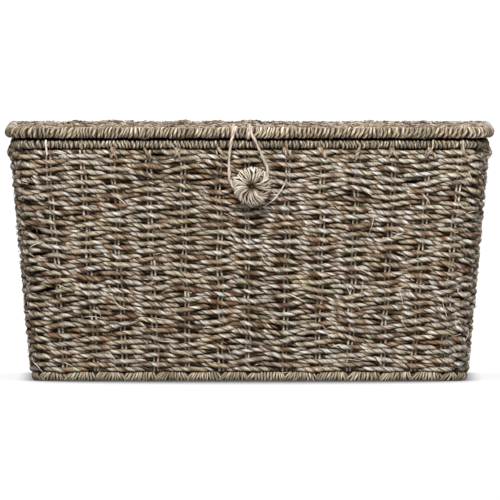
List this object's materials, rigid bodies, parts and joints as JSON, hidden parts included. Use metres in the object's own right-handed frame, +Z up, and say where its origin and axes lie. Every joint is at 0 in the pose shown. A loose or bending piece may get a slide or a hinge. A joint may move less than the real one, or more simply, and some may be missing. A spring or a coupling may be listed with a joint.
{
  "type": "woven storage trunk",
  "caption": "Rectangular woven seagrass storage trunk on a wire frame, with tapered walls, a hinged lid, and a cord loop that hooks round a wrapped button.",
  "frame": {"origin": "on the base's level underside, under the middle of the base hoop", "axes": "+X to the right as seen from the front, +Y from the front wall to the back wall, +Z up"},
  "size_m": [0.491, 0.3517, 0.2577],
  "materials": {
    "steel_rod": "satin",
    "seagrass_weave": "matte",
    "seagrass_wrap": "matte",
    "paper_cord": "matte",
    "button_wrap": "matte"
  },
  "bodies": {
    "basket": {"base_hoop_rod": "steel_rod", "base_rim_wrap": "seagrass_wrap", "base_cross_rods": "steel_rod", "base_stakes": "paper_cord", "base_weave": "seagrass_weave", "corner_post_front_left": "steel_rod", "corner_post_front_right": "steel_rod", "corner_post_back_left": "steel_rod", "corner_post_back_right": "steel_rod", "top_hoop_rod": "steel_rod", "top_rim_wrap": "seagrass_wrap", "wall_stakes_front": "paper_cord", "wall_stakes_back": "paper_cord", "wall_stakes_left": "paper_cord", "wall_stakes_right": "paper_cord", "wall_weave_front": "seagrass_weave", "wall_weave_back": "seagrass_weave", "wall_weave_left": "seagrass_weave", "wall_weave_right": "seagrass_weave", "hinge_tie_left": "seagrass_wrap", "hinge_tie_right": "seagrass_wrap", "button_shank": "paper_cord"},
    "lid": {"lid_hoop_rod": "steel_rod", "lid_rim_wrap": "seagrass_wrap", "lid_cross_rods": "steel_rod", "lid_stakes": "paper_cord", "lid_weave": "seagrass_weave"},
    "loop": {"loop_cord": "paper_cord", "loop_eyes": "paper_cord"},
    "button": {"button_core": "seagrass_weave", "button_wrap": "button_wrap"}
  },
  "joints": [
    {"name": "lid_hinge", "type": "hinge", "parent": "basket", "child": "lid", "pos_m": [0, 0.16425, 0.2494], "axis": [-1, 0, 0], "range_deg": [0, 110]},
    {"name": "loop_swing", "type": "hinge", "parent": "lid", "child": "loop", "pos_m": [0, -0.16425, 0.2494], "axis": [-1, 0, 0], "range_deg": [0, 150], "deforming": ["loop_cord"]},
    {"name": "button_turn", "type": "hinge", "parent": "basket", "child": "button", "pos_m": [0.0025, -0.17, 0.196], "axis": [0, -1, 0], "range_deg": [-45, 45]}
  ]
}
